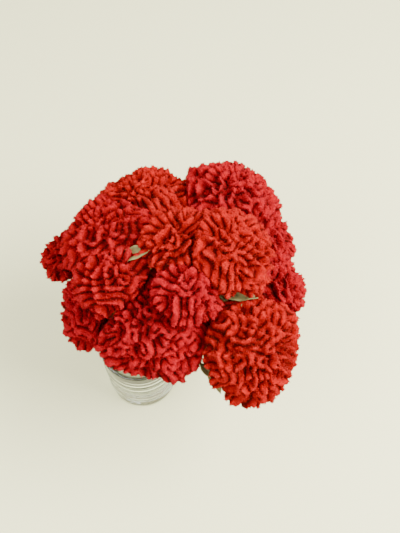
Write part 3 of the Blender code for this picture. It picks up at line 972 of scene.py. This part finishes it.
def floret_tree(material):
    """A tree that sets small pointed florets on the crests and joins them to the comb."""
    group = bpy.data.node_groups.new("floret_tips", "GeometryNodeTree")
    face = group.interface
    face.new_socket("Comb", in_out="INPUT", socket_type="NodeSocketGeometry")
    for name in ("Density", "Length", "Width"):
        face.new_socket(name, in_out="INPUT", socket_type="NodeSocketFloat")
    face.new_socket("Seed", in_out="INPUT", socket_type="NodeSocketInt")
    face.new_socket("Plush", in_out="OUTPUT", socket_type="NodeSocketGeometry")
    tree = Tree(group)
    given = tree.add("NodeGroupInput").outputs
    crest = tree.add("GeometryNodeInputNamedAttribute", data_type="FLOAT")
    crest.inputs["Name"].default_value = "crest"
    thick = tree.maths("MULTIPLY", given["Density"], tree.maths("POWER", crest.outputs["Attribute"], 1.5))
    scatter = tree.add("GeometryNodeDistributePointsOnFaces")
    tree.join(given["Comb"], scatter.inputs["Mesh"])
    tree.join(thick, scatter.inputs["Density"])
    tree.join(given["Seed"], scatter.inputs["Seed"])
    tip = tree.add("GeometryNodeMeshCone")
    tip.inputs["Vertices"].default_value = 3
    tip.inputs["Radius Top"].default_value = 0.0
    tree.join(tree.maths("MULTIPLY", given["Width"], 0.5), tip.inputs["Radius Bottom"])
    tree.join(given["Length"], tip.inputs["Depth"])
    height = tree.add("ShaderNodeSeparateXYZ")
    tree.join(tree.add("GeometryNodeInputPosition").outputs["Position"], height.inputs["Vector"])
    # How far up each floret a point lies, read by the material for a painted highlight on the floret tips
    mark = tree.add("GeometryNodeStoreNamedAttribute", data_type="FLOAT", domain="POINT")
    mark.inputs["Name"].default_value = "floret_tip"
    tree.join(tip.outputs["Mesh"], mark.inputs["Geometry"])
    tree.join(tree.maths("DIVIDE", height.outputs["Z"], given["Length"]), mark.inputs["Value"])
    sink = tree.add("GeometryNodeTransform")
    sink.inputs["Translation"].default_value = (0.0, 0.0, -0.4 * MM)
    tree.join(mark.outputs["Geometry"], sink.inputs["Geometry"])
    lean = tree.add("FunctionNodeRandomValue", data_type="FLOAT_VECTOR")
    lean.inputs["Min"].default_value = (-0.75, -0.75, -3.1)
    lean.inputs["Max"].default_value = (0.75, 0.75, 3.1)
    turn = tree.add("FunctionNodeRotateRotation", rotation_space="LOCAL")
    euler = tree.add("FunctionNodeEulerToRotation")
    tree.join(lean.outputs["Value"], euler.inputs["Euler"])
    tree.join(scatter.outputs["Rotation"], turn.inputs["Rotation"])
    tree.join(euler.outputs["Rotation"], turn.inputs["Rotate By"])
    size = tree.add("FunctionNodeRandomValue", data_type="FLOAT")
    size.inputs[2].default_value = 0.55
    size.inputs[3].default_value = 1.25
    grow = tree.add("GeometryNodeInstanceOnPoints")
    tree.join(scatter.outputs["Points"], grow.inputs["Points"])
    tree.join(sink.outputs["Geometry"], grow.inputs["Instance"])
    tree.join(turn.outputs["Rotation"], grow.inputs["Rotation"])
    tree.join(size.outputs[1], grow.inputs["Scale"])
    both = tree.add("GeometryNodeJoinGeometry")
    tree.join(grow.outputs["Instances"], both.inputs["Geometry"])
    tree.join(given["Comb"], both.inputs["Geometry"])
    real = tree.add("GeometryNodeRealizeInstances")
    tree.join(both.outputs["Geometry"], real.inputs["Geometry"])
    paint = tree.add("GeometryNodeSetMaterial")
    paint.inputs["Material"].default_value = material
    tree.join(real.outputs["Geometry"], paint.inputs["Geometry"])
    tree.join(paint.outputs["Geometry"], tree.add("NodeGroupOutput").inputs["Plush"])
    return group


def set_inputs(modifier, values):
    """Set a node tree's inputs by their sockets' identifiers."""
    for item in modifier.node_group.interface.items_tree:
        if item.in_out == "INPUT" and item.name in values:
            modifier[item.identifier] = values[item.name]


def head_slot(name):
    """The record's material slot of a head."""
    if name in CRIMSON_HEADS:
        return "bloom_crimson"
    if name in ORANGE_HEADS:
        return "bloom_orange_red"
    return "bloom_red"


def make_head(index, settings, planes, material, florets):
    """One plush head with its ribbons and floret tips."""
    name = NAMES[index]
    points, faces, height, along = head_shape(index, settings, planes)
    mesh = mesh_from("bloom_" + name, points, faces)
    add_value(mesh, "crest", height)
    add_value(mesh, "underside", smooth_step(-0.15, -0.7, along))
    head = new_piece("bloom_" + name, mesh, material)
    thin = head.modifiers.new("thin", "DECIMATE")
    thin.ratio = min(1.0, MOST_HEAD_FACES / len(faces))
    settle_modifiers(head, material)
    tips = head.modifiers.new("florets", "NODES")
    tips.node_group = florets
    set_inputs(tips, {
        "Density": settings.floret_density,
        "Length": settings.floret_length,
        "Width": settings.floret_width,
        "Seed": settings.seed + index,
    })
    settle_modifiers(head, material)
    keep_in_box(head.data)
    head.data.shade_smooth()
    finish_piece(head, "head_" + name)
    return head


def smooth_path(points, steps):
    """A smooth curve through points, with a number of steps from each to the next."""
    padded = np.vstack([2 * points[0] - points[1], points, 2 * points[-1] - points[-2]])
    curve = []
    for before, start, end, after in zip(padded[:-3], padded[1:-2], padded[2:-1], padded[3:]):
        for step in range(steps):
            share = step / steps
            first = -share + 2 * share ** 2 - share ** 3
            second = 2 - 5 * share ** 2 + 3 * share ** 3
            third = share + 4 * share ** 2 - 3 * share ** 3
            fourth = share ** 3 - share ** 2
            curve.append((first * before + second * start + third * end + fourth * after) / 2)
    curve.append(points[-1])
    return np.array(curve)


def add_tube(bm, rib_layer, path, radii, seed):
    """A ribbed stalk along a path, closed at both ends."""
    rng = np.random.default_rng(seed)
    phase = rng.uniform(0.0, 2.0 * math.pi)
    rings = []
    side = np.array([1.0, 0.0, 0.0])
    for step, (point, radius) in enumerate(zip(path, radii)):
        ahead = path[min(step + 1, len(path) - 1)] - path[max(step - 1, 0)]
        ahead = unit(ahead)
        side = unit(side - ahead * (side @ ahead))
        other = np.cross(ahead, side)
        ring = []
        for corner in range(STEM_SIDES):
            turn = 2.0 * math.pi * corner / STEM_SIDES
            rib = 1.0 + 0.09 * math.cos(STEM_RIBS * turn + phase)
            spot = point + (side * math.cos(turn) + other * math.sin(turn)) * radius * rib
            vert = bm.verts.new(spot * MM)
            vert[rib_layer] = 0.5 + 0.5 * math.cos(STEM_RIBS * turn + phase)
            ring.append(vert)
        rings.append(ring)
    for lower, upper in zip(rings[:-1], rings[1:]):
        for corner in range(STEM_SIDES):
            after = (corner + 1) % STEM_SIDES
            bm.faces.new((lower[corner], lower[after], upper[after], upper[corner]))
    bm.faces.new(list(reversed(rings[0])))
    bm.faces.new(rings[-1])


# Blades: the waves of the edge, the folds and the side veins from root to tip
EDGE_TURNS = 21.0
FOLD_TURNS = 9.0
VEIN_TURNS = 24.0
VEIN_SLANT = 5.0


def blade_sheet(rows, crumple, seed):
    """Points across a crumpled, wavy-edged blade, and how near each is to its rib or edge."""
    rng = np.random.default_rng(seed)
    left, rib, right = (smooth_path(np.array(part), BLADE_STATIONS // LEAF_STATIONS)
                        for part in zip(*rows))
    stations = len(rib)
    frills = rng.uniform(0.0, 2.0 * math.pi, 2)
    sheet = np.zeros((stations, BLADE_ACROSS, 3))
    marks = np.zeros((stations, BLADE_ACROSS))
    for station in range(stations):
        share = station / (stations - 1)
        ahead = rib[min(station + 1, stations - 1)] - rib[max(station - 1, 0)]
        lift = unit(np.cross(right[station] - left[station] + 1e-6, ahead))
        for place in range(BLADE_ACROSS):
            across = 2.0 * place / (BLADE_ACROSS - 1) - 1.0
            out = abs(across)
            edge = left[station] if across < 0.0 else right[station]
            lag = 1.5 if across < 0.0 else 0.0
            wave = math.sin(share * EDGE_TURNS + frills[0] + lag) * out ** 1.5
            fold = math.sin(share * FOLD_TURNS + across * 3.0 + frills[1]) * 0.55
            ripple = abs(math.sin(share * VEIN_TURNS - out * VEIN_SLANT))
            vein = -ripple * 0.4 * (1.0 - out)
            point = rib[station] + (edge - rib[station]) * out
            sheet[station, place] = point + lift * crumple * (0.6 * wave + 0.5 * fold + vein)
            veins = max(0.0, 1.0 - ripple * 3.0)
            marks[station, place] = max(1.0 - out * 7.0, out ** 8, veins * 0.6)
    return sheet, marks


def add_blade(bm, rib_layer, sheet, marks):
    """A thin two-faced blade from a sheet of points."""
    stations, across = marks.shape
    along = np.gradient(sheet, axis=0)
    sideways = np.gradient(sheet, axis=1)
    normals = unit(np.cross(sideways, along))
    layers = []
    for side in (0.5, -0.5):
        layer = []
        for station in range(stations):
            row = []
            for place in range(across):
                spot = sheet[station, place] + normals[station, place] * side * BLADE_THICKNESS
                vert = bm.verts.new(spot * MM)
                vert[rib_layer] = marks[station, place]
                row.append(vert)
            layer.append(row)
        layers.append(layer)
    top, low = layers
    for station in range(stations - 1):
        for place in range(across - 1):
            corners = [(station, place), (station, place + 1)]
            corners += [(station + 1, place + 1), (station + 1, place)]
            bm.faces.new([top[row][column] for row, column in corners])
            bm.faces.new([low[row][column] for row, column in reversed(corners)])
    rim = [(0, place) for place in range(across)]
    rim += [(station, across - 1) for station in range(1, stations)]
    rim += [(stations - 1, place) for place in range(across - 2, -1, -1)]
    rim += [(station, 0) for station in range(stations - 2, 0, -1)]
    for (row, column), (next_row, next_column) in zip(rim, rim[1:] + rim[:1]):
        upper = [top[next_row][next_column], top[row][column]]
        lower = [low[row][column], low[next_row][next_column]]
        bm.faces.new(upper + lower)


# How far below its head a stem has its knots, before each stem's own shift
KNOT_SPOTS = np.arange(30.0, 150.0, 37.0)


def stem_radii(name, path, knot_spots):
    """The radius of a stem at each point: even, with knots, then wider where it joins its head."""
    flare = NECK_FLARE * HEADS[name][1]
    from_top = np.linalg.norm(path - path[-1], axis=1)
    widen = smooth_step(NECK_RUN * 1.6, 0.0, from_top)
    knots = 0.12 * np.exp(-((from_top[:, None] - knot_spots[None]) / 3.0) ** 2).sum(axis=1)
    return STEM_RADIUS * (0.94 + knots) * (1.0 - widen) + flare * widen * 0.98


def make_stem(name, settings, material):
    """One dried stem with its crumpled leaves."""
    bunch = plan()
    path = smooth_path(bunch["stems"][name], STEM_RINGS)
    bm = bmesh.new()
    rib_layer = bm.verts.layers.float.new("rib")
    knot_spots = KNOT_SPOTS + HEADS[name][2]
    add_tube(bm, rib_layer, path, stem_radii(name, path, knot_spots), HEADS[name][2])
    for number, rows in enumerate(bunch["leaves"][name]):
        seed = HEADS[name][2] * 10 + number
        add_blade(bm, rib_layer, *blade_sheet(rows, settings.crumple / MM, seed))
    mesh = bpy.data.meshes.new("dried_stem_" + name)
    bm.to_mesh(mesh)
    bm.free()
    stem = new_piece("dried_stem_" + name, mesh, material)
    mesh.shade_smooth()
    finish_piece(stem, "stem_" + name)
    return stem


def outer_radius(height):
    """The tumbler's plain outer wall at a height above its heel."""
    share = (height - HEEL_HEIGHT) / (GLASS_HEIGHT - HEEL_HEIGHT)
    return SHOULDER_RADIUS + (MOUTH_RADIUS - SHOULDER_RADIUS) * share


def ring_rise(height):
    """How far the raised rings stand out of the wall at a height."""
    rise = 0.0
    for ring in range(RING_COUNT):
        middle = FIRST_RING_HEIGHT + ring * RING_SPACING
        away = abs(height - middle) / (RING_WIDTH / 2)
        if away < 1.0:
            rise += RING_RISE * (0.5 + 0.5 * math.cos(math.pi * away))
    return rise


def arc_points(middle, radii, first, last, count):
    """Points of part of an ellipse in the tumbler's section, angles in degrees."""
    points = []
    for turn in np.radians(np.linspace(first, last, count)):
        points.append((middle[0] + radii[0] * math.cos(turn), middle[1] + radii[1] * math.sin(turn)))
    return points


def glass_profile():
    """Half the tumbler's section: up its inside, over the round rim, down its ringed outside."""
    inner_floor = outer_radius(FLOOR_THICKNESS) - WALL
    rim = WALL / 2
    corner = 6.0
    profile = [(0.0, FLOOR_THICKNESS), (inner_floor * 0.5, FLOOR_THICKNESS)]
    bend = (inner_floor - corner, FLOOR_THICKNESS + corner)
    profile += arc_points(bend, (corner, corner), -90.0, 0.0, 8)
    profile += arc_points((MOUTH_RADIUS - rim, GLASS_HEIGHT - rim), (rim, rim), 180.0, 0.0, 11)
    for height in np.arange(GLASS_HEIGHT - rim - GLASS_STEP, HEEL_HEIGHT, -GLASS_STEP):
        profile.append((outer_radius(height) + ring_rise(height), height))
    heel = (FOOT_RADIUS, HEEL_HEIGHT)
    profile += arc_points(heel, (SHOULDER_RADIUS - FOOT_RADIUS, HEEL_HEIGHT), 0.0, -90.0, 9)
    profile += [(FOOT_RADIUS * 0.8, 0.0), (FOOT_RADIUS * 0.6, 1.6), (0.0, 2.2)]
    return profile


def make_glass(settings):
    """The tumbler, turned from its section."""
    bm = bmesh.new()
    points = []
    for radius, height in glass_profile():
        points.append(bm.verts.new((radius * MM, 0.0, height * MM)))
    for first, second in zip(points[:-1], points[1:]):
        bm.edges.new((first, second))
    mesh = bpy.data.meshes.new("tumbler")
    bm.to_mesh(mesh)
    bm.free()
    material = glass_material(tuple(settings.tint))
    glass = new_piece("tumbler", mesh, material)
    turned = glass.modifiers.new("turned", "SCREW")
    turned.angle = 2.0 * math.pi
    turned.steps = settings.steps
    turned.render_steps = settings.steps
    turned.use_merge_vertices = True
    turned.merge_threshold = 0.00001
    settle_modifiers(glass, material)
    glass.data.shade_smooth()
    finish_piece(glass, "glass")
    return glass


def add_light(name, place, aim, size, power, colour):
    """A soft square light that faces a point."""
    data = bpy.data.lights.new(name, "AREA")
    data.shape = "SQUARE"
    data.size = size
    data.energy = power
    data.color = colour
    light = bpy.data.objects.new(name, data)
    light.location = place
    light.rotation_euler = (Vector(aim) - Vector(place)).to_track_quat("-Z", "Y").to_euler()
    bpy.context.scene.collection.objects.link(light)
    return light


CAMERA_PLACE = (0.0627, -0.3109, 0.8427)
CAMERA_ELEVATION = 62.0
CAMERA_LENS = 54.03
CAMERA_SENSOR = 36.0
FLOOR_SIZE = 6.0
SKY_COLOUR = (1.0, 0.985, 0.93, 1.0)

# Each lamp's place, the point it faces, its side, its share of the key power and its colour
LAMPS = {
    "window": ((0.95, -0.1, 1.15), (0.02, 0.0, 0.12), 0.9, 1.0, (1.0, 0.985, 0.94)),
    "room": ((-0.7, -0.6, 1.3), (0.0, 0.0, 0.1), 1.2, 0.32, (0.96, 0.98, 1.0)),
}


class CELOSIA_OT_make_blooms(bpy.types.Operator):
    """Make the combed heads with their ribbons and floret tips."""

    bl_idname = "celosia.make_blooms"
    bl_label = "Make blooms"

    def execute(self, context):
        settings = context.scene.celosia_bloom
        # Each kind: its body colour and the pale tip colour painted as a highlight on crests and floret
        # tips
        kinds = {
            "bloom_crimson": (settings.crimson, ROSE_TIP_HIGHLIGHT),
            "bloom_red": (settings.red, ROSE_TIP_HIGHLIGHT),
            "bloom_orange_red": (settings.orange_red, ORANGE_TIP_HIGHLIGHT),
        }
        materials = {}
        trees = {}
        for slot, (body, tip) in kinds.items():
            shift = blended(body, tip, 0.08)
            materials[slot] = plush_material("plush_" + slot, tuple(body), tip, shift)
            trees[slot] = floret_tree(materials[slot])
        planes = plan()["planes"]
        for index, name in enumerate(NAMES):
            slot = head_slot(name)
            make_head(index, settings, planes[index], materials[slot], trees[slot])
        return {"FINISHED"}


class CELOSIA_OT_make_stems(bpy.types.Operator):
    """Make the dried stems with their crumpled leaves."""

    bl_idname = "celosia.make_stems"
    bl_label = "Make stems and leaves"

    def execute(self, context):
        settings = context.scene.celosia_stem
        colours = (settings.leaf_colour, settings.pale_colour, settings.stem_colour)
        material = dried_material("dried_leaf", *(tuple(colour) for colour in colours))
        for name in NAMES:
            make_stem(name, settings, material)
        return {"FINISHED"}


class CELOSIA_OT_make_glass(bpy.types.Operator):
    """Make the glass tumbler."""

    bl_idname = "celosia.make_glass"
    bl_label = "Make tumbler"

    def execute(self, context):
        make_glass(context.scene.celosia_glass)
        return {"FINISHED"}


class CELOSIA_OT_make_stage(bpy.types.Operator):
    """Make the pale table, the soft lights and the camera."""

    bl_idname = "celosia.make_stage"
    bl_label = "Make stage"

    def execute(self, context):
        settings = context.scene.celosia_stage
        bm = bmesh.new()
        bmesh.ops.create_grid(bm, x_segments=8, y_segments=8, size=FLOOR_SIZE / 2)
        mesh = bpy.data.meshes.new("table")
        bm.to_mesh(mesh)
        bm.free()
        table = new_piece("table", mesh, floor_material(tuple(settings.floor_colour)))
        for name, (place, aim, size, share, colour) in LAMPS.items():
            add_light(name, place, aim, size, settings.key_power * share, colour)
        world = bpy.data.worlds.new("room_light")
        world.use_nodes = True
        sky = world.node_tree.nodes["Background"]
        sky.inputs["Color"].default_value = SKY_COLOUR
        sky.inputs["Strength"].default_value = settings.fill_strength
        context.scene.world = world
        data = bpy.data.cameras.new("camera")
        data.lens = CAMERA_LENS
        data.sensor_width = CAMERA_SENSOR
        camera = bpy.data.objects.new("camera", data)
        camera.location = CAMERA_PLACE
        camera.rotation_euler = (math.radians(90.0 - CAMERA_ELEVATION), 0.0, 0.0)
        context.scene.collection.objects.link(camera)
        context.scene.camera = camera
        return {"FINISHED"}


class CELOSIA_PT_panel(bpy.types.Panel):
    """Lists the pieces of the bunch and their sizes and colours."""

    bl_idname = "CELOSIA_PT_panel"
    bl_label = "Celosia bunch"
    bl_space_type = "VIEW_3D"
    bl_region_type = "UI"
    bl_category = "Celosia"

    def draw(self, context):
        for name, operator in STEPS:
            settings = getattr(context.scene, name)
            box = self.layout.box()
            box.operator(operator)
            for field in settings.bl_rna.properties:
                if field.identifier not in ("rna_type", "name"):
                    box.prop(settings, field.identifier)


STEPS = (
    ("celosia_glass", "celosia.make_glass"),
    ("celosia_stem", "celosia.make_stems"),
    ("celosia_bloom", "celosia.make_blooms"),
    ("celosia_stage", "celosia.make_stage"),
)
SETTINGS = {
    "celosia_glass": CelosiaGlassSettings,
    "celosia_stem": CelosiaStemSettings,
    "celosia_bloom": CelosiaBloomSettings,
    "celosia_stage": CelosiaStageSettings,
}
CLASSES = (
    *SETTINGS.values(),
    CELOSIA_OT_make_blooms,
    CELOSIA_OT_make_stems,
    CELOSIA_OT_make_glass,
    CELOSIA_OT_make_stage,
    CELOSIA_PT_panel,
)


def register():
    """Add the classes and the settings of the scene."""
    for each in CLASSES:
        bpy.utils.register_class(each)
    for name, group in SETTINGS.items():
        setattr(bpy.types.Scene, name, PointerProperty(type=group))


def unregister():
    """Take away what register added."""
    for name in SETTINGS:
        delattr(bpy.types.Scene, name)
    for each in reversed(CLASSES):
        bpy.utils.unregister_class(each)


def main():
    """Make the whole bunch."""
    register()
    bpy.ops.celosia.make_glass()
    bpy.ops.celosia.make_stems()
    bpy.ops.celosia.make_blooms()
    bpy.ops.celosia.make_stage()


if __name__ == "__main__":
    main()
